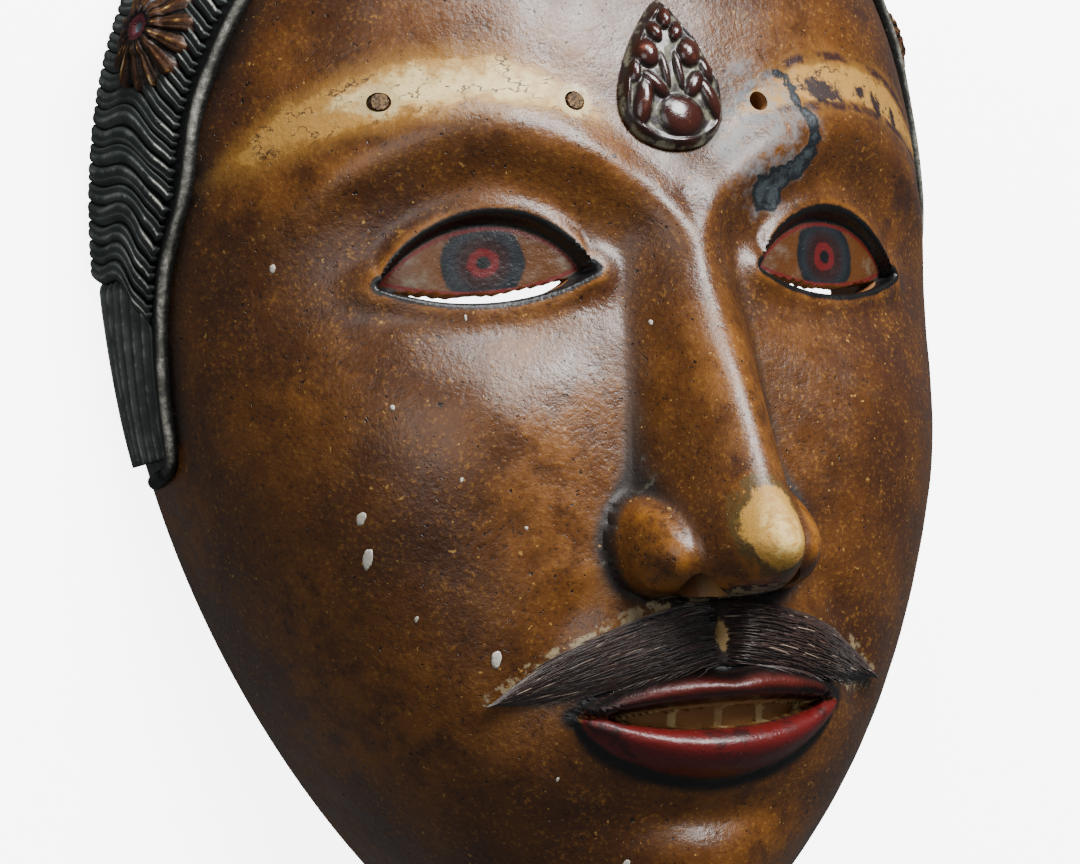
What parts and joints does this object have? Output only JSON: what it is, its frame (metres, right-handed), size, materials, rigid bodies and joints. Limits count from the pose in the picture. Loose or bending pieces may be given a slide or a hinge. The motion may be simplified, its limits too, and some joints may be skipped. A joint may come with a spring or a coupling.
{
  "type": "topeng mask",
  "caption": "Carved and lacquered wooden dance mask, hollow at the back, with a hide moustache and a scrolled boss on the forehead.",
  "frame": {"origin": "the middle of the plane that the rim rests on", "axes": "+Z is the way the face looks, away from the wearer; +Y is the crown, -Y the chin; +X is the mask's own left"},
  "size_m": [0.1496, 0.2036, 0.0914],
  "materials": {
    "lacquered_wood": "brown lacquer over carved wood, rubbed to a gloss and worn",
    "dark_hide": "hide with short dark hair",
    "moulded_lacquer": "moulded resin lacquer, dark red-brown, dirty in its hollows",
    "peg_wood": "bare split wood"
  },
  "bodies": {
    "root": {"mask_body": "lacquered_wood", "moustache": "dark_hide", "forehead_ornament": "moulded_lacquer", "brow_peg_outer": "peg_wood", "brow_peg_inner": "peg_wood"}
  },
  "joints": []
}
